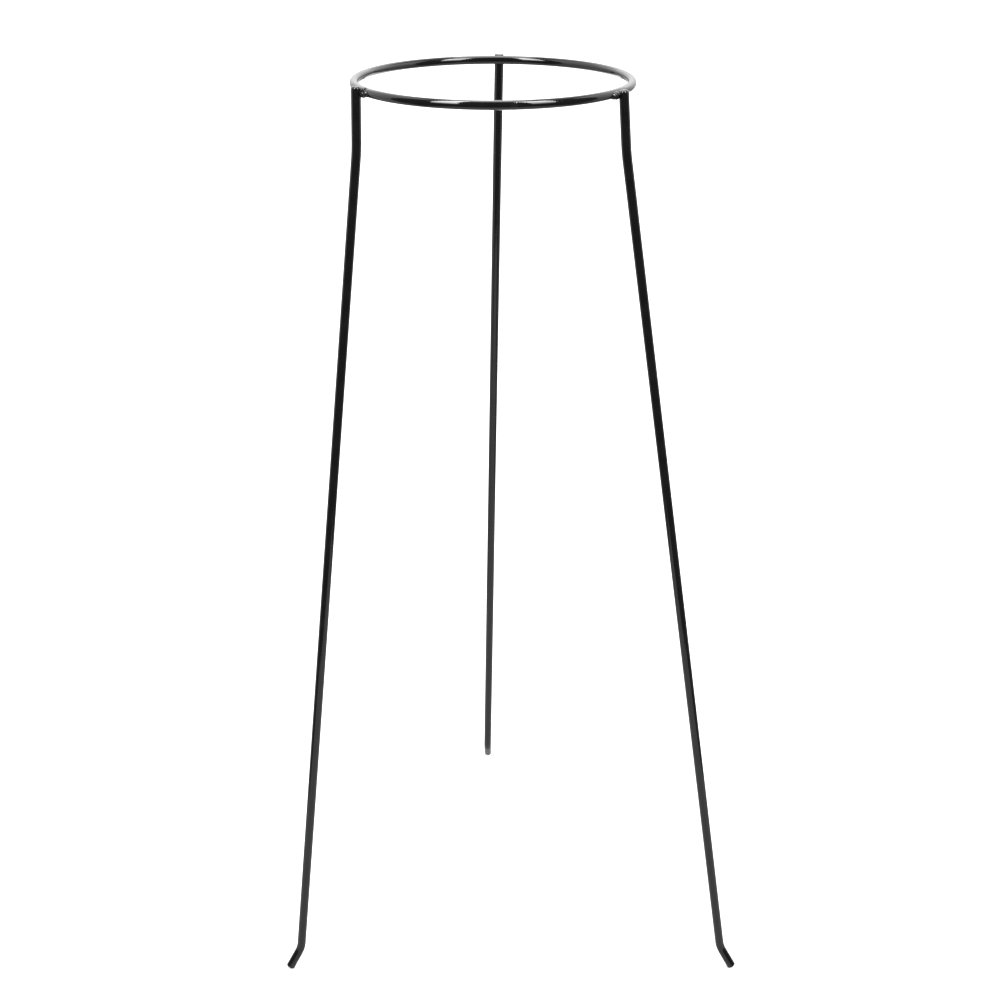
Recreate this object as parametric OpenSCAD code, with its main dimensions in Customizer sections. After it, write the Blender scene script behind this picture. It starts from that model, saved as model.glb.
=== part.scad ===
// Wire plant stand: a round-bar pot ring welded to the tops of three bent round-bar legs.
// Millimetres, +Z up. The origin is on the floor, under the middle of the ring.
// The front of the stand faces -Y. A bearing is an angle about +Z, anticlockwise from +X.

/* [Ring] */
// Outside diameter of the pot ring
ring_od = 203.2; // [140:0.1:320]
// Diameter of the round bar that the ring is rolled from
ring_bar_d = 6.35; // [4:0.05:10]
// Height of the top of the ring above the floor
ring_top_h = 711.2; // [300:0.1:1200]
// Length, along the bar, of the butt weld that closes the ring
seam_len = 2; // [1:0.1:5]
// How far the butt weld stands proud of the bar
seam_proud = 0.1; // [0.05:0.05:0.6]
// Bearing of the butt weld
seam_bearing = 280.6; // [250:0.1:310]

/* [Legs] */
// Diameter of the round bar that the legs are bent from
leg_bar_d = 7; // [4:0.05:10]
// Bearing between the rear leg and each front leg
leg_spacing = 120; // [100:1:135]
// Outward lean of the front left leg's top section, as it is welded on
front_left_lean = 2.3; // [0:0.1:6]
// Outward lean of the front right leg's top section
front_right_lean = 4.2; // [0:0.1:6]
// Outward lean of the rear leg's top section
rear_lean = 3; // [0:0.1:6]
// Sideways lean of every leg, with its foot to the anticlockwise side when positive
side_lean = 1.3; // [-2:0.1:2]
// How far the front left leg's top end stands above the middle of the ring's bar
front_left_rise = 3.9; // [1:0.1:20]
// How far the front right leg's top end stands above the middle of the ring's bar
front_right_rise = 2.5; // [1:0.1:20]
// How far the rear leg's top end stands above the middle of the ring's bar
rear_rise = 3.2; // [1:0.1:20]
// Length of the top section, from the middle of the ring's bar down to the corner of the bend
top_len = 40; // [25:0.5:90]
// Angle of the upper bend
upper_bend = 5; // [2:0.5:8]
// Radius of the upper bend, at the middle of the bar
upper_bend_r = 150; // [40:5:300]

/* [Feet] */
// Height of the corner of the foot bend above the floor
foot_bend_h = 17; // [15:0.5:60]
// Angle of the foot bend
foot_bend = 27; // [10:1:40]
// Radius of the foot bend, at the middle of the bar
foot_bend_r = 20; // [8:1:24]
// Depth that each foot is dressed flat where it stands on the floor
foot_flat = 0.4; // [0.1:0.05:0.8]
// Chamfer round the cut ends of each leg
end_chamfer = 0.6; // [0.2:0.1:1.2]

/* [Leg welds] */
// Gap left between the leg and the ring under the weld
weld_gap = 0.05; // [0:0.05:0.4]
// Diameter of the drop of weld metal in the corner between the leg and the ring
weld_head_d = 5.6; // [5:0.1:7]
// Diameter of the drop of weld metal at the bead's tail
weld_tail_d = 4.6; // [4:0.1:5.4]
// Distance between the middles of the two drops, along the ring
weld_step = 3; // [2:0.1:4]
// How far the weld metal stays from the middle of the leg, where the corner narrows to nothing
weld_root = 1.3; // [1:0.1:2]
// How far the middles of the drops lie inside the ring's outer face
weld_sink = 0.5; // [0:0.1:1]
// How far the bead lies above the middle of the ring's bar
weld_height = 0.4; // [-1.5:0.1:1.5]

/* [Hidden] */

// Smoothness of the bars, of the long sweeps and of the weld beads
bar_fn = 48;
sweep_fn = 240;
bead_fn = 64;

// How far the joints between stretches of a leg's bar stand proud
joint_proud = 0.01;

paint = [0.10, 0.10, 0.11];
weld_paint = [0.16, 0.16, 0.17];

ring_r = (ring_od - ring_bar_d) / 2;
ring_z = ring_top_h - ring_bar_d / 2;
seam_half_angle = along_ring(seam_len / 2);

rear_bearing = 90;
front_left_bearing = rear_bearing + leg_spacing;
front_right_bearing = rear_bearing - leg_spacing;

// A leg lies against the outside of the ring, so its middle is this far from the middle of the ring's bar
leg_offset = (ring_bar_d + leg_bar_d) / 2 + weld_gap;
upper_setback = setback(upper_bend, upper_bend_r);
foot_setback = setback(foot_bend, foot_bend_r);

// Angle about the ring's axis that covers a length of its bar
function along_ring(length) = length / ring_r * 180 / PI;

// Distance from the corner of a bend to where its arc starts
function setback(angle, radius) = radius * tan(angle / 2);

// Fall towards the floor for each unit of length, for a stretch of leg that is bent by `bent` in all
function fall(lean, bent) = cos(bent) * cos(lean) * cos(side_lean) - sin(bent) * sin(lean);

// Corner to corner length of a leg's middle section
function middle_len(lean) =
    (ring_z + leg_offset * sin(lean) - top_len * fall(lean, 0) - foot_bend_h) / fall(lean, upper_bend);

// Height of the middle of a foot's cut end, which puts its dressed edge on the floor
function foot_end_z(lean) =
    (leg_bar_d / 2 - end_chamfer) * sin(acos(fall(lean, upper_bend + foot_bend))) - foot_flat;

// Length of a foot from its corner to its end
function foot_len(lean) = (foot_bend_h - foot_end_z(lean)) / fall(lean, upper_bend + foot_bend);

// A straight stretch of leg bar, from here down
module straight(length) {
    translate([0, 0, -length])
        cylinder(d = leg_bar_d, h = length, $fn = bar_fn);
}

// A straight stretch of leg bar, from here down to a cut end with a chamfer
module straight_to_end(length) {
    bar_r = leg_bar_d / 2;
    rotate_extrude($fn = bar_fn)
        polygon([
            [0, 0],
            [bar_r, 0],
            [bar_r, end_chamfer - length],
            [bar_r - end_chamfer, -length],
            [0, -length]
        ]);
}

// Fuses two stretches of leg bar where they meet, standing proud by less than the paint's thickness
module joint() {
    sphere(d = leg_bar_d + 2 * joint_proud, $fn = bead_fn);
}

// A bend that turns the bar towards +X, with the rest of the bar as its children
module bend(angle, radius) {
    joint();
    translate([radius, 0, 0])
        rotate([90, 0, 0])
            rotate([0, 0, 180])
                rotate_extrude(angle = angle, $fn = sweep_fn)
                    translate([radius, 0])
                        circle(d = leg_bar_d, $fn = bar_fn);
    translate([radius * (1 - cos(angle)), 0, -radius * sin(angle)])
        rotate([0, -angle, 0]) {
            joint();
            children();
        }
}

// Puts its children where a leg's top section crosses the middle of the ring's bar
module at_leg(bearing, lean) {
    rotate([0, 0, bearing])
        translate([ring_r, 0, ring_z])
            rotate([side_lean, -lean, 0])
                translate([leg_offset, 0, 0])
                    children();
}

// The stretch at the top of a leg, from the upper bend to its cut upper end
module top_section(rise) {
    translate([0, 0, upper_setback - top_len])
        mirror([0, 0, 1])
            straight_to_end(top_len - upper_setback + rise);
}

// One leg: a single bar with a slight bend under the ring and a sharper one at the foot
module leg(bearing, lean, rise) {
    middle = middle_len(lean) - upper_setback - foot_setback;
    foot = foot_len(lean) - foot_setback;
    difference() {
        at_leg(bearing, lean) {
            top_section(rise);
            translate([0, 0, upper_setback - top_len])
                bend(upper_bend, upper_bend_r) {
                    straight(middle);
                    translate([0, 0, -middle])
                        bend(foot_bend, foot_bend_r)
                            straight_to_end(foot);
                }
        }
        floor_block();
    }
}

// Everything below the floor, wide enough for any foot
module floor_block() {
    translate([-ring_top_h, -ring_top_h, -leg_bar_d])
        cube([2 * ring_top_h, 2 * ring_top_h, leg_bar_d]);
}

// A stretch of the ring's bar between two bearings
module ring_arc(from, to, bar_d) {
    translate([0, 0, ring_z])
        rotate([0, 0, from])
            rotate_extrude(angle = to - from, $fn = sweep_fn)
                translate([ring_r, 0])
                    circle(d = bar_d, $fn = bar_fn);
}

// A drop of weld metal on the outside of the ring, at a distance along it from a bearing
module weld_drop_at(bearing, distance, d) {
    rotate([0, 0, bearing + along_ring(distance)])
        translate([ring_r + ring_bar_d / 2 - weld_sink, 0, ring_z + weld_height])
            rotate([0, 90, 0])
                sphere(d = d, $fn = bead_fn);
}

// The bead in the corner between a leg and the ring, on the leg's +1 (anticlockwise) or -1 side
module leg_weld(bearing, lean, rise, side) {
    head = weld_root + weld_head_d / 2;
    difference() {
        union() {
            weld_drop_at(bearing, side * head, weld_head_d);
            weld_drop_at(bearing, side * (head + weld_step), weld_tail_d);
        }
        ring_arc(0, 360, ring_bar_d);
        at_leg(bearing, lean)
            top_section(rise);
    }
}

module ring() {
    color(paint)
        ring_arc(seam_bearing + seam_half_angle, seam_bearing - seam_half_angle + 360, ring_bar_d);
}

module ring_seam_weld() {
    color(weld_paint)
        ring_arc(seam_bearing - seam_half_angle, seam_bearing + seam_half_angle,
                 ring_bar_d + 2 * seam_proud);
}

module front_left_leg() {
    color(paint)
        leg(front_left_bearing, front_left_lean, front_left_rise);
}

module front_right_leg() {
    color(paint)
        leg(front_right_bearing, front_right_lean, front_right_rise);
}

module rear_leg() {
    color(paint)
        leg(rear_bearing, rear_lean, rear_rise);
}

module front_left_weld() {
    color(weld_paint)
        leg_weld(front_left_bearing, front_left_lean, front_left_rise, 1);
}

module front_right_weld() {
    color(weld_paint)
        leg_weld(front_right_bearing, front_right_lean, front_right_rise, -1);
}

module rear_weld() {
    color(weld_paint)
        leg_weld(rear_bearing, rear_lean, rear_rise, 1);
}

ring();
ring_seam_weld();
front_left_leg();
front_right_leg();
rear_leg();
front_left_weld();
front_right_weld();
rear_weld();
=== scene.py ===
import math

import bmesh
import bpy
import numpy as np
from mathutils import Matrix, Vector


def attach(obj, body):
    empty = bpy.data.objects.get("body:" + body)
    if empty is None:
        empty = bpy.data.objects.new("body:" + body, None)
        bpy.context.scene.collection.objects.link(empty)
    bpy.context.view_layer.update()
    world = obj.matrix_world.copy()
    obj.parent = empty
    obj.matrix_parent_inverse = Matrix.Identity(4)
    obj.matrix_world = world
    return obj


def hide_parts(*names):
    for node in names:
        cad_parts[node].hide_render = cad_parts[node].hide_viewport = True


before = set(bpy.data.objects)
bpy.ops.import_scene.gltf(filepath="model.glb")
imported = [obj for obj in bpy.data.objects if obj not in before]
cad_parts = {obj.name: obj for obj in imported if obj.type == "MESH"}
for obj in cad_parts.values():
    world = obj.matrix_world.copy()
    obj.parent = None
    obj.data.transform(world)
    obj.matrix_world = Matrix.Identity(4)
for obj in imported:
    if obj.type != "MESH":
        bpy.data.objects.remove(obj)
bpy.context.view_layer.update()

# Wire plant stand: fine bars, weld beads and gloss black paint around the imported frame.
# Sizes are the part's own, in millimetres and degrees, until MM turns them into metres.
MM = 0.001

# Ring
RING_OD = 203.2
RING_BAR_D = 6.35
RING_TOP_H = 711.2
SEAM_LEN = 2.0
SEAM_PROUD = 0.1
SEAM_BEARING = 280.6

# Legs: bearing, outward lean, rise of the top end over the ring's middle, and how far the top end
# is rounded, along the bar and across it
LEG_BAR_D = 7.0
LEGS = {
    "front_left": (210.0, 2.3, 3.9, (1.9, 2.4)),
    "front_right": (-30.0, 4.2, 2.5, (1.9, 2.4)),
    "rear": (90.0, 3.0, 3.2, (0.5, 0.8)),
}
SIDE_LEAN = 1.3
TOP_LEN = 40.0
UPPER_BEND = 5.0
UPPER_BEND_R = 150.0
FOOT_BEND_H = 17.0
FOOT_BEND = 27.0
FOOT_BEND_R = 20.0
FOOT_FLAT = 0.4
END_CHAMFER = 0.6
FOOT_ROUND = (END_CHAMFER, END_CHAMFER)
WELD_GAP = 0.05

# Mesh fineness: sides and steps of the bars, a step's angle in the bends and its length between them,
# steps round a cut end, and subdivisions of a bead
BAR_SIDES = 64
RING_STEPS = 480
BEND_STEP = 1.0
STRAIGHT_STEP = 8.0
END_STEPS = 6
BEAD_LEVEL = 6

RING_R = (RING_OD - RING_BAR_D) / 2
RING_Z = RING_TOP_H - RING_BAR_D / 2
LEG_OFFSET = (RING_BAR_D + LEG_BAR_D) / 2 + WELD_GAP


# ---- Bars ----------------------------------------------------------------------------------------

def circle_angles():
    return np.arange(BAR_SIDES) * 2 * math.pi / BAR_SIDES


def skin(name, centres, across, up, radii):
    """A closed mesh swept through circles.

    Each circle has a centre, two axes and a radius, or a radius for each of its vertices.
    """
    turn = circle_angles()
    if radii.ndim == 1:
        radii = radii[:, None].repeat(BAR_SIDES, 1)
    rim = across[:, None] * np.cos(turn)[None, :, None] + up[:, None] * np.sin(turn)[None, :, None]
    points = (centres[:, None] + rim * radii[:, :, None]).reshape(-1, 3) * MM
    faces = []
    for here in range(0, len(points) - BAR_SIDES, BAR_SIDES):
        there = here + BAR_SIDES
        for k in range(BAR_SIDES):
            n = (k + 1) % BAR_SIDES
            faces.append((here + k, here + n, there + n, there + k))
    faces.append(tuple(reversed(range(BAR_SIDES))))
    faces.append(tuple(range(len(points) - BAR_SIDES, len(points))))
    mesh = bpy.data.meshes.new(name)
    mesh.from_pydata(points.tolist(), [], faces)
    mesh.update()
    return mesh


def add_piece(name, mesh):
    """Puts a mesh in the scene with smooth faces that point outwards, apart from flat end faces."""
    work = bmesh.new()
    work.from_mesh(mesh)
    bmesh.ops.recalc_face_normals(work, faces=work.faces)
    for face in work.faces:
        flat = len(face.verts) > 4
        face.smooth = not flat
        if flat:
            for edge in face.edges:
                edge.smooth = False
    work.to_mesh(mesh)
    work.free()
    piece = bpy.data.objects.new(name, mesh)
    bpy.context.scene.collection.objects.link(piece)
    return piece


def setback(angle, radius):
    """Distance from the corner of a bend to where its arc starts."""
    return radius * math.tan(math.radians(angle) / 2)


def fall(lean, bent):
    """Fall towards the floor for each unit of length, for a stretch of leg that is bent so far in all."""
    lean, bent, side = (math.radians(a) for a in (lean, bent, SIDE_LEAN))
    return math.cos(bent) * math.cos(lean) * math.cos(side) - math.sin(bent) * math.sin(lean)


def middle_length(lean):
    """Corner to corner length of a leg's middle section."""
    height = RING_Z + LEG_OFFSET * math.sin(math.radians(lean)) - TOP_LEN * fall(lean, 0) - FOOT_BEND_H
    return height / fall(lean, UPPER_BEND)


def foot_length(lean):
    """Length of a foot from its corner to its cut end, whose dressed edge is on the floor."""
    slope = fall(lean, UPPER_BEND + FOOT_BEND)
    end_z = (LEG_BAR_D / 2 - END_CHAMFER) * math.sin(math.acos(slope)) - FOOT_FLAT
    return (FOOT_BEND_H - end_z) / slope


def walk_straight(line, length):
    """Takes a leg's middle line straight on for a length."""
    steps = math.ceil(length / STRAIGHT_STEP)
    for _ in range(steps):
        x, z, heading = line[-1]
        x += math.sin(heading) * length / steps
        z -= math.cos(heading) * length / steps
        line.append((x, z, heading))


def walk_bend(line, angle, radius):
    """Takes a leg's middle line round a bend, outwards."""
    steps = math.ceil(angle / BEND_STEP)
    turn = math.radians(angle) / steps
    chord = 2 * radius * math.sin(turn / 2)
    for _ in range(steps):
        x, z, heading = line[-1]
        x += math.sin(heading + turn / 2) * chord
        z -= math.cos(heading + turn / 2) * chord
        line.append((x, z, heading + turn))


def walk_leg(lean, rise):
    """The middle line of a leg from its top end down, in the leg's own plane: x, z and heading."""
    upper_setback = setback(UPPER_BEND, UPPER_BEND_R)
    foot_setback = setback(FOOT_BEND, FOOT_BEND_R)
    line = [(0.0, rise, 0.0)]
    walk_straight(line, TOP_LEN - upper_setback + rise)
    walk_bend(line, UPPER_BEND, UPPER_BEND_R)
    walk_straight(line, middle_length(lean) - upper_setback - foot_setback)
    walk_bend(line, FOOT_BEND, FOOT_BEND_R)
    walk_straight(line, foot_length(lean) - foot_setback)
    return np.array(line)


def leg_place(bearing, lean):
    """Where a leg's own plane lies: its z axis runs up the top section, its x axis outwards."""
    return (
        Matrix.Rotation(math.radians(bearing), 4, "Z")
        @ Matrix.Translation((RING_R, 0, RING_Z))
        @ Matrix.Rotation(math.radians(-lean), 4, "Y")
        @ Matrix.Rotation(math.radians(SIDE_LEAN), 4, "X")
        @ Matrix.Translation((LEG_OFFSET, 0, 0))
    )


def with_round_ends(line, radius, top_round):
    """Rounds the edges of the cut ends of a bar's line, and gives each row's radius."""
    quarter = np.linspace(math.pi / 2, 0, END_STEPS + 1)
    ends = []
    for row, forward, (along, across) in ((line[0], 1, top_round), (line[-1], -1, FOOT_ROUND)):
        inward = forward * along * (1 - np.sin(quarter))
        rows = np.repeat(row[None], END_STEPS + 1, 0)
        rows[:, 0] += inward * math.sin(row[2])
        rows[:, 1] -= inward * math.cos(row[2])
        ends.append((rows, radius - across * (1 - np.cos(quarter))))
    (top, top_radii), (foot, foot_radii) = ends
    body = line[1:-1]
    rows = np.concatenate([top, body, foot[::-1]])
    return rows, np.concatenate([top_radii, np.full(len(body), radius), foot_radii[::-1]])


def cut_at_floor(mesh):
    """Dresses a foot flat where it stands on the floor."""
    work = bmesh.new()
    work.from_mesh(mesh)
    everything = work.verts[:] + work.edges[:] + work.faces[:]
    bmesh.ops.bisect_plane(work, geom=everything, plane_co=(0, 0, 0), plane_no=(0, 0, 1), clear_inner=True)
    rim = [edge for edge in work.edges if edge.is_boundary]
    bmesh.ops.contextual_create(work, geom=rim)
    work.to_mesh(mesh)
    work.free()


def make_leg(side):
    """One leg: a bar with two bends, round edges at its cut ends and a flat under its foot."""
    name = side + "_leg_bar"
    bearing, lean, rise, top_round = LEGS[side]
    rows, radii = with_round_ends(walk_leg(lean, rise), LEG_BAR_D / 2, top_round)
    x, z, heading = rows.T
    nought = np.zeros_like(x)
    centres = np.stack([x, nought, z], 1)
    across = np.stack([np.cos(heading), nought, np.sin(heading)], 1)
    up = np.stack([nought, nought + 1, nought], 1)
    place = np.array(leg_place(bearing, lean))
    turn = place[:3, :3]
    mesh = skin(name, centres @ turn.T + place[:3, 3], across @ turn.T, up @ turn.T, radii)
    cut_at_floor(mesh)
    return add_piece(name, mesh)


def ring_rows(bearings):
    """Middle line and axes of the ring's bar at some bearings, in radians."""
    nought = np.zeros_like(bearings)
    outward = np.stack([np.cos(bearings), np.sin(bearings), nought], 1)
    centres = outward * RING_R + np.array([0, 0, RING_Z])
    return centres, outward, np.stack([nought, nought, nought + 1], 1)


def make_ring():
    """The ring's bar, whose ends meet the butt weld inside its collar."""
    half = SEAM_LEN / 4 / RING_R
    start = math.radians(SEAM_BEARING)
    bearings = np.linspace(start + half, start + 2 * math.pi - half, RING_STEPS)
    centres, outward, up = ring_rows(bearings)
    mesh = skin("ring_bar", centres, outward, up, np.full(len(bearings), RING_BAR_D / 2))
    return add_piece("ring_bar", mesh)


# ---- The ring's butt weld ------------------------------------------------------------------------

SEAM_FADE = 1.6        # how far its metal spreads over the bar on each side
SEAM_ROWS = 60
SEAM_WAVES = ((0.16, 2, 0.7), (0.09, 5, 2.1))    # its edges' sway round the bar: size, count and phase
SEAM_SWAY = 0.6        # share of that sway that the swell takes
SEAM_SWELL = 1.5       # how steeply it swells out of the bar
SEAM_RIPPLES = 11      # pace of the ripples across it
SEAM_HUMP = 0.32       # share of its height that the ripples take
SEAM_LUMP = 0.15       # share of its height that the lumps round the bar take
SEAM_LUMPS = 3
SEAM_LUMP_PHASE = 1.0
SEAM_TUCK = 0.02       # how far its ends lie inside the bar


def make_seam():
    """The butt weld: a low collar that swells out of the bar, with ripples across it."""
    reach = (SEAM_LEN / 2 + SEAM_FADE) / RING_R
    bearings = math.radians(SEAM_BEARING) + np.linspace(-reach, reach, SEAM_ROWS)
    centres, outward, up = ring_rows(bearings)
    along = np.linspace(-1, 1, SEAM_ROWS)[:, None]
    turn = circle_angles()[None]
    sway = sum(size * np.sin(turn * count + phase) for size, count, phase in SEAM_WAVES)
    swell = np.clip(1 - (along + sway * SEAM_SWAY) ** 2, 0, 1) ** SEAM_SWELL
    ripple = 0.5 + 0.5 * np.sin((along + sway) * SEAM_RIPPLES)
    lumps = 1 - SEAM_LUMP + SEAM_LUMP * np.sin(turn * SEAM_LUMPS + SEAM_LUMP_PHASE)
    proud = SEAM_PROUD * swell * lumps * (1 - SEAM_HUMP * ripple) - SEAM_TUCK
    mesh = skin("ring_seam_bead", centres, outward, up, RING_BAR_D / 2 + proud)
    return add_piece("ring_seam_bead", mesh)


# ---- The legs' weld beads ------------------------------------------------------------------------

# The side of the leg that a bead is on (1 is anticlockwise), and its drops of weld metal: distance
# along the ring from the leg, height over the ring's middle, distance of the drop's middle outside
# the ring's outer face, and diameter
BEADS = {
    "front_left": (1, ((4.4, 1.6, -0.8, 4.2), (3.8, -1.0, -0.3, 5.2), (7.2, -0.3, -0.7, 4.6))),
    "front_right": (-1, ((4.2, -0.9, -0.3, 5.5), (6.4, -0.8, -0.4, 4.8))),
    "rear": (1, ((4.0, 0.3, -0.4, 5.6), (6.9, 0.1, -0.5, 4.6))),
}
NO_METAL = 1000.0      # a distance far outside any drop
DROP_BLEND = 0.5       # how softly the drops run into each other
BEAD_BLEND = 0.9       # how softly the metal runs into the bars
BEAD_TOE = 0.03        # how far the metal's edge dips into the bars
RIPPLE_STEP = 2.3
RIPPLE_HEIGHT = 0.035
RIPPLE_BOW = 0.12      # how much the ripples curve over the bead
LUMP_HEIGHT = 0.05
LUMP_LIFT, LUMP_ALONG, LUMP_PHASE = 1.3, 0.9, 0.6

# A bead's surface is searched for along rays from its middle: from a first distance to the furthest
# in even steps, and then by halving the step
RAY_FROM, RAY_TO = 0.05, 6.5
RAY_STEPS = 130
RAY_HALVINGS = 14


def soft_union(a, b, blend):
    """Joins two distances, with a fillet between them."""
    share = np.clip(0.5 + 0.5 * (b - a) / blend, 0, 1)
    return b * (1 - share) + a * share - blend * share * (1 - share)


def to_ring(points):
    """Signed distance to the ring's bar."""
    flat = np.hypot(points[..., 0], points[..., 1]) - RING_R
    return np.hypot(flat, points[..., 2] - RING_Z) - RING_BAR_D / 2


def to_leg(points, top, down):
    """Signed distance to a leg's top section, whose cut end is at top and which runs down."""
    arm = points - top
    along = arm @ down
    side = np.linalg.norm(arm - along[..., None] * down, axis=-1) - LEG_BAR_D / 2
    above = -along
    outside = np.hypot(np.maximum(side + END_CHAMFER, 0), np.maximum(above + END_CHAMFER, 0)) - END_CHAMFER
    return np.minimum(np.maximum(side, above) + END_CHAMFER, 0) + outside


def drop_middle(bearing, side, distance, height, outside):
    """Middle of a drop of weld metal beside the leg at a bearing in radians."""
    angle = bearing + side * distance / RING_R
    out = RING_R + RING_BAR_D / 2 + outside
    return np.array([math.cos(angle) * out, math.sin(angle) * out, RING_Z + height])


def weld_field(points, bearing, side, drops, top, down):
    """Signed distance to the weld metal with the bars that it joins, a little inside their faces."""
    ring, leg = to_ring(points), to_leg(points, top, down)
    metal = np.full(points.shape[:-1], NO_METAL)
    for distance, height, outside, size in drops:
        middle = drop_middle(bearing, side, distance, height, outside)
        metal = soft_union(metal, np.linalg.norm(points - middle, axis=-1) - size / 2, DROP_BLEND)
    around = (np.arctan2(points[..., 1], points[..., 0]) - bearing + math.pi) % (2 * math.pi) - math.pi
    along = side * around * RING_R
    lift = points[..., 2] - RING_Z
    ripples = np.sin(2 * math.pi * (along + RIPPLE_BOW * lift ** 2) / RIPPLE_STEP)
    lumps = np.sin(lift * LUMP_LIFT + along * LUMP_ALONG + LUMP_PHASE)
    metal = metal + RIPPLE_HEIGHT * ripples + LUMP_HEIGHT * lumps
    joined = soft_union(soft_union(metal, ring, BEAD_BLEND), leg, BEAD_BLEND)
    return np.minimum(joined, np.minimum(ring, leg)) + BEAD_TOE


def reach_of(field, middle, rays):
    """How far each ray from the middle runs before it leaves what the field is negative in."""
    near, far = np.zeros(len(rays)), np.full(len(rays), RAY_TO)
    open_ray = np.ones(len(rays), bool)
    for reach in np.linspace(RAY_FROM, RAY_TO, RAY_STEPS):
        inside = field(middle + rays * reach) < 0
        far = np.where(open_ray & ~inside, reach, far)
        open_ray &= inside
        near = np.where(open_ray, reach, near)
    for _ in range(RAY_HALVINGS):
        half = (near + far) / 2
        inside = field(middle + rays * half[:, None]) < 0
        near, far = np.where(inside, half, near), np.where(inside, far, half)
    return near


def ball_mesh(name):
    """A fine ball of radius 1, and its vertices."""
    mesh = bpy.data.meshes.new(name)
    work = bmesh.new()
    bmesh.ops.create_icosphere(work, subdivisions=BEAD_LEVEL, radius=1)
    work.to_mesh(mesh)
    work.free()
    points = np.zeros(len(mesh.vertices) * 3)
    mesh.vertices.foreach_get("co", points)
    return mesh, points.reshape(-1, 3)


def make_bead(leg_side):
    """The bead between a leg and the ring: a ball whose vertices are moved out to the metal's face."""
    name = leg_side + "_weld_bead"
    bearing, lean, rise, _ = LEGS[leg_side]
    side, drops = BEADS[leg_side]
    place = np.array(leg_place(bearing, lean))
    top = place[:3, :3] @ np.array([0, 0, rise]) + place[:3, 3]
    down = -place[:3, 2]
    bearing = math.radians(bearing)

    def field(points):
        return weld_field(points, bearing, side, drops, top, down)

    middle = drop_middle(bearing, side, *np.mean(drops, 0)[:3])
    mesh, rays = ball_mesh(name)
    points = (middle + rays * reach_of(field, middle, rays)[:, None]) * MM
    mesh.vertices.foreach_set("co", points.ravel())
    mesh.update()
    return add_piece(name, mesh)


# ---- Paint ---------------------------------------------------------------------------------------

# Darkest and lightest colour, roughness, and strength of the orange peel
PAINTS = {
    "bar_paint": ((0.0008, 0.0008, 0.0009), (0.0024, 0.0024, 0.0026), 0.07, 0.10),
    "weld_paint": ((0.002, 0.002, 0.0022), (0.006, 0.006, 0.0065), 0.08, 0.06),
}
PAINT_IOR = 1.5

# The noises' scale, detail and roughness, and the range of each that shows
DRIFT = (90, 3, 0.5)
DRIFT_FROM, DRIFT_TO = 0.35, 0.70
DUST = (2600, 2, 0.6)
DUST_FROM, DUST_TO = 0.62, 0.80
DUST_ROUGHENS = 0.25
PEEL = (620, 2, 0.5)
PEEL_DEPTH = 0.0002    # metres


def node(tree, kind, **settings):
    made = tree.nodes.new(kind)
    for key, value in settings.items():
        setattr(made, key, value)
    return made


def noise(tree, place, scale, detail, roughness):
    """Noise in the object's own space, which gives its value."""
    made = node(tree, "ShaderNodeTexNoise")
    made.inputs["Scale"].default_value = scale
    made.inputs["Detail"].default_value = detail
    made.inputs["Roughness"].default_value = roughness
    tree.links.new(place.outputs["Object"], made.inputs["Vector"])
    return made.outputs["Fac"]


def spread(tree, source, low, high, to_low, to_high):
    """A value whose range from low to high is taken to another range."""
    made = node(tree, "ShaderNodeMapRange")
    for key, value in zip(("From Min", "From Max", "To Min", "To Max"), (low, high, to_low, to_high)):
        made.inputs[key].default_value = value
    tree.links.new(source, made.inputs["Value"])
    return made.outputs["Result"]


def gloss_paint(name, dark, light, rough, peel):
    """Gloss black paint: a colour that drifts a little, specks of fine dust, and orange peel."""
    material = bpy.data.materials.new(name)
    material.use_nodes = True
    tree = material.node_tree
    shader = tree.nodes["Principled BSDF"]
    shader.inputs["IOR"].default_value = PAINT_IOR
    place = node(tree, "ShaderNodeTexCoord")

    ramp = node(tree, "ShaderNodeValToRGB")
    for stop, position, colour in zip(ramp.color_ramp.elements, (DRIFT_FROM, DRIFT_TO), (dark, light)):
        stop.position = position
        stop.color = (*colour, 1)
    tree.links.new(noise(tree, place, *DRIFT), ramp.inputs["Fac"])
    tree.links.new(ramp.outputs["Color"], shader.inputs["Base Color"])

    dust = noise(tree, place, *DUST)
    gloss = spread(tree, dust, DUST_FROM, DUST_TO, rough, rough + DUST_ROUGHENS)
    tree.links.new(gloss, shader.inputs["Roughness"])

    bump = node(tree, "ShaderNodeBump")
    bump.inputs["Strength"].default_value = peel
    bump.inputs["Distance"].default_value = PEEL_DEPTH
    tree.links.new(noise(tree, place, *PEEL), bump.inputs["Height"])
    tree.links.new(bump.outputs["Normal"], shader.inputs["Normal"])
    return material


# ---- Studio, laid out in metres ------------------------------------------------------------------

CAMERA_AT = (0.0502, -1.1053, 0.8834)
CAMERA_PITCH = 24.412
CAMERA_YAW = -2.344
LENS_MM = 54.78
SENSOR_MM = 36.0
CLIP_START = 0.05

FLOOR_REACH = 30.0
FLOOR_WHITE = 0.9
DAYLIGHT = 2.4         # radiance of the plain white surroundings


def upright(a, b, low, high):
    """Corners of an upright card over two points of the floor, from a low height up to a high one."""
    return (*a, low), (*b, low), (*b, high), (*a, high)


def level(left, right, front, back, height):
    """Corners of a level card."""
    return (left, front, height), (right, front, height), (right, back, height), (left, back, height)


# The tent's walls: the left and right one reach from their front edge to the back one
BACK, ROOF = 0.555, 1.22
LEFT, LEFT_EDGE = -0.283, -0.10
RIGHT, RIGHT_EDGE = 0.456, -0.055
LEFT_BACK, RIGHT_BACK = (LEFT, BACK, ROOF), (RIGHT, BACK, ROOF)

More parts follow.
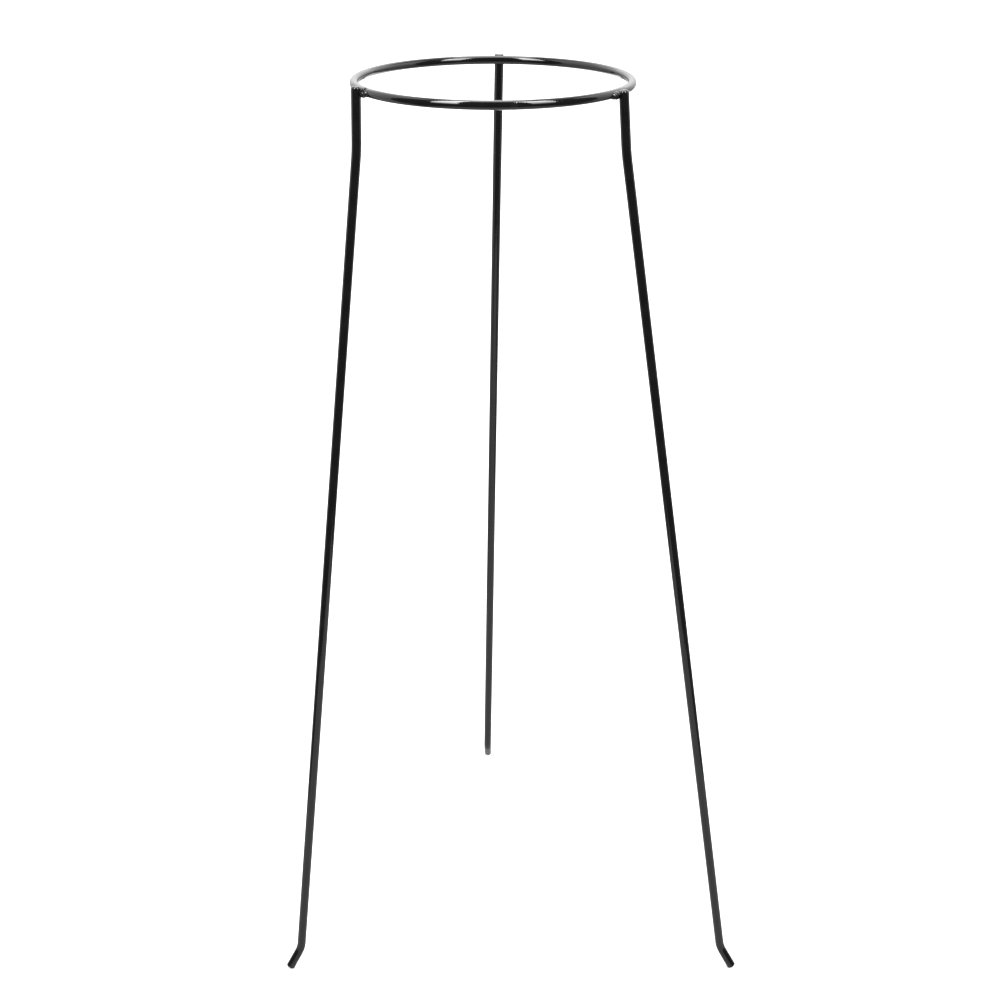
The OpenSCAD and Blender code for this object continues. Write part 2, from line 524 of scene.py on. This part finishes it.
# The roof over them, the fronts of the shoulders that slope up to it, and the eave left of the walls
TOP_FRONT_LEFT, TOP_FRONT_RIGHT = (-0.36, -0.18, 1.58), (0.34, -0.18, 1.58)
TOP_BACK_LEFT, TOP_BACK_RIGHT = (-0.15, 0.68, 1.81), (0.11, 0.68, 1.81)
LEFT_SHOULDER, RIGHT_SHOULDER = (LEFT, 0.10, ROOF), (RIGHT, 0.10, ROOF)
EAVE_LEFT, EAVE_FRONT = -0.513, 0.064

# Cards just inside the tent's walls: collars up from the ring's height, and a glow level with the
# ring, in two bands. A band has its low and high height and its radiance at both.
COLLAR_H, COLLAR_INSET = 0.71, 0.002
COLLAR_LEFT, COLLAR_RIGHT = LEFT + COLLAR_INSET, RIGHT - COLLAR_INSET
GLOW_BANDS = ((0.50, 0.71, 0.45, 1.2), (0.71, 0.98, 1.2, 3.6))
GLOW_FRONT, GLOW_INSET = 0.20, 0.004
GLOW_LEFT, GLOW_RIGHT, GLOW_BACK = LEFT + GLOW_INSET, RIGHT - GLOW_INSET, BACK - GLOW_INSET
GLOW_WALLS = (
    ((GLOW_LEFT, GLOW_FRONT), (GLOW_LEFT, BACK)),
    ((LEFT, GLOW_BACK), (RIGHT, GLOW_BACK)),
    ((GLOW_RIGHT, BACK), (GLOW_RIGHT, GLOW_FRONT)),
)

# Two long strips in front, a sheet of paper under the stand, and a dim room all round
STRIP_LEFT = ((-0.066, -0.029, 1.10), (-0.094, -0.011, 1.10), (-3.66, -3.54, 2.15), (-2.00, -4.66, 2.15))
STRIP_RIGHT = ((0.127, -0.178, 1.24), (0.250, -0.076, 1.24), (1.88, -1.60, 1.10), (1.32, -2.06, 1.10))
PAPER_LEFT, PAPER_RIGHT, PAPER_FRONT = -0.475, 0.603, -0.81
PAPER_H, ROOM_FLOOR_H = 0.0004, 0.0002
WALL, CEILING = 6.0, 5.0
ROOM_LOW, ROOM_HIGH = 0.18, 0.24

# Cards that only reflections see. Each runs from its first two corners to its last two, and its
# radiance changes from the first number to the second on the way.
CARDS = {
    "strip_left": (STRIP_LEFT, 25.7, 0.28),
    "strip_right": (STRIP_RIGHT, 25.2, 0.51),
    "roof_wide": ((TOP_FRONT_LEFT, TOP_FRONT_RIGHT, TOP_BACK_RIGHT, TOP_BACK_LEFT), 3.3, 8.8),
    "roof_slope": ((LEFT_BACK, RIGHT_BACK, TOP_BACK_RIGHT, TOP_BACK_LEFT), 3.0, 4.0),
    "shoulder_left": ((LEFT_SHOULDER, LEFT_BACK, TOP_BACK_LEFT, TOP_FRONT_LEFT), 1.0, 1.0),
    "shoulder_right": ((RIGHT_SHOULDER, RIGHT_BACK, TOP_BACK_RIGHT, TOP_FRONT_RIGHT), 1.0, 1.0),
    "roof_left": (
        ((LEFT, EAVE_FRONT, ROOF), LEFT_BACK, (EAVE_LEFT, BACK, ROOF), (EAVE_LEFT, EAVE_FRONT, ROOF)),
        1.4, 1.4,
    ),
    "tent_left": (upright((LEFT, LEFT_EDGE), (LEFT, BACK), 0, ROOF), 0.58, 1.61),
    "tent_right": (upright((RIGHT, RIGHT_EDGE), (RIGHT, BACK), 0, ROOF), 0.34, 2.44),
    "collar_left": (upright((COLLAR_LEFT, LEFT_EDGE), (COLLAR_LEFT, BACK), COLLAR_H, ROOF), 1.5, 2.6),
    "collar_right": (upright((COLLAR_RIGHT, RIGHT_EDGE), (COLLAR_RIGHT, BACK), COLLAR_H, ROOF), 1.5, 3.0),
    "tent_back": (upright((LEFT, BACK), (RIGHT, BACK), 0, ROOF), 2.6, 2.8),
    "paper": (level(PAPER_LEFT, PAPER_RIGHT, PAPER_FRONT, BACK, PAPER_H), 0.97, 0.97),
    "room_floor": (level(-WALL, WALL, -WALL, WALL, ROOM_FLOOR_H), ROOM_LOW, ROOM_LOW),
    "room_front": (upright((-WALL, -WALL), (WALL, -WALL), 0, CEILING), ROOM_LOW, ROOM_HIGH),
    "room_back": (upright((-WALL, WALL), (WALL, WALL), 0, CEILING), ROOM_LOW, ROOM_HIGH),
    "room_left": (upright((-WALL, -WALL), (-WALL, WALL), 0, CEILING), ROOM_LOW, ROOM_HIGH),
    "room_right": (upright((WALL, -WALL), (WALL, WALL), 0, CEILING), ROOM_LOW, ROOM_HIGH),
    "room_top": (level(-WALL, WALL, -WALL, WALL, CEILING), ROOM_HIGH, ROOM_HIGH),
}


def add_camera():
    data = bpy.data.cameras.new("camera")
    data.sensor_width = SENSOR_MM
    data.lens = LENS_MM
    data.clip_start = CLIP_START
    camera = bpy.data.objects.new("camera", data)
    camera.location = CAMERA_AT
    camera.rotation_euler = (math.radians(90 - CAMERA_PITCH), 0, math.radians(-CAMERA_YAW))
    bpy.context.scene.collection.objects.link(camera)
    bpy.context.scene.camera = camera


def add_sheet(name, corners, material):
    """A flat four-cornered sheet that belongs to the studio."""
    mesh = bpy.data.meshes.new(name)
    mesh.from_pydata(corners, [], [(0, 1, 2, 3)])
    mesh.materials.append(material)
    sheet = bpy.data.objects.new(name, mesh)
    bpy.context.scene.collection.objects.link(sheet)
    return sheet


def add_floor():
    """The plain pale floor, which reflections see as the paper card and the room's floor."""
    material = bpy.data.materials.new("floor_white")
    material.use_nodes = True
    shader = material.node_tree.nodes["Principled BSDF"]
    shader.inputs["Base Color"].default_value = (FLOOR_WHITE, FLOOR_WHITE, FLOOR_WHITE, 1)
    shader.inputs["Roughness"].default_value = 1.0
    shader.inputs["Specular IOR Level"].default_value = 0.0
    floor = add_sheet("floor", level(-FLOOR_REACH, FLOOR_REACH, -FLOOR_REACH, FLOOR_REACH, 0), material)
    floor.visible_glossy = False


def fade_strength(tree, glow, corners, first, last):
    """Fades a glow evenly from a card's first two corners to its last two."""
    start = (Vector(corners[0]) + Vector(corners[1])) / 2
    axis = (Vector(corners[2]) + Vector(corners[3])) / 2 - start
    axis /= axis.length_squared
    place = node(tree, "ShaderNodeTexCoord")
    along = node(tree, "ShaderNodeVectorMath", operation="DOT_PRODUCT")
    along.inputs[1].default_value = axis
    tree.links.new(place.outputs["Object"], along.inputs[0])
    begin = start.dot(axis)
    fade = spread(tree, along.outputs["Value"], begin, begin + 1, math.log(first), math.log(last))
    power = node(tree, "ShaderNodeMath", operation="EXPONENT")
    tree.links.new(fade, power.inputs[0])
    tree.links.new(power.outputs["Value"], glow.inputs["Strength"])


def add_card(name, corners, first, last):
    """A glowing card that only reflections see."""
    material = bpy.data.materials.new(name)
    material.use_nodes = True
    tree = material.node_tree
    tree.nodes.clear()
    glow = node(tree, "ShaderNodeEmission")
    out = node(tree, "ShaderNodeOutputMaterial")
    tree.links.new(glow.outputs["Emission"], out.inputs["Surface"])
    if first == last:
        glow.inputs["Strength"].default_value = first
    else:
        fade_strength(tree, glow, corners, first, last)
    card = add_sheet(name, corners, material)
    card.visible_camera = False
    card.visible_diffuse = False
    card.visible_shadow = False
    card.visible_transmission = False


def add_studio():
    """White surroundings, and the cards in them."""
    world = bpy.data.worlds.new("studio")
    world.use_nodes = True
    sky = world.node_tree.nodes["Background"]
    sky.inputs["Color"].default_value = (1, 1, 1, 1)
    sky.inputs["Strength"].default_value = DAYLIGHT
    bpy.context.scene.world = world
    for name, (corners, first, last) in CARDS.items():
        add_card(name, corners, first, last)
    for band, (low, high, first, last) in enumerate(GLOW_BANDS):
        for wall, (a, b) in enumerate(GLOW_WALLS):
            add_card(f"glow_{band}_{wall}", upright(a, b, low, high), first, last)


# ---- The stand in its studio ---------------------------------------------------------------------

def dress(piece, cad_node, slot):
    """Paints a piece, and lets it stand for its CAD node."""
    piece.data.materials.append(paints[slot])
    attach(piece, "root")
    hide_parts(cad_node)


bpy.context.scene.view_settings.view_transform = "Standard"
add_camera()
add_floor()
add_studio()

paints = {name: gloss_paint(name, *look) for name, look in PAINTS.items()}

dress(make_ring(), "ring", "bar_paint")
dress(make_seam(), "ring_seam_weld", "weld_paint")
for side in LEGS:
    dress(make_leg(side), side + "_leg", "bar_paint")
    dress(make_bead(side), side + "_weld", "weld_paint")

for cad_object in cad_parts.values():
    slot = "weld_paint" if cad_object.name.endswith("weld") else "bar_paint"
    cad_object.data.materials.clear()
    cad_object.data.materials.append(paints[slot])
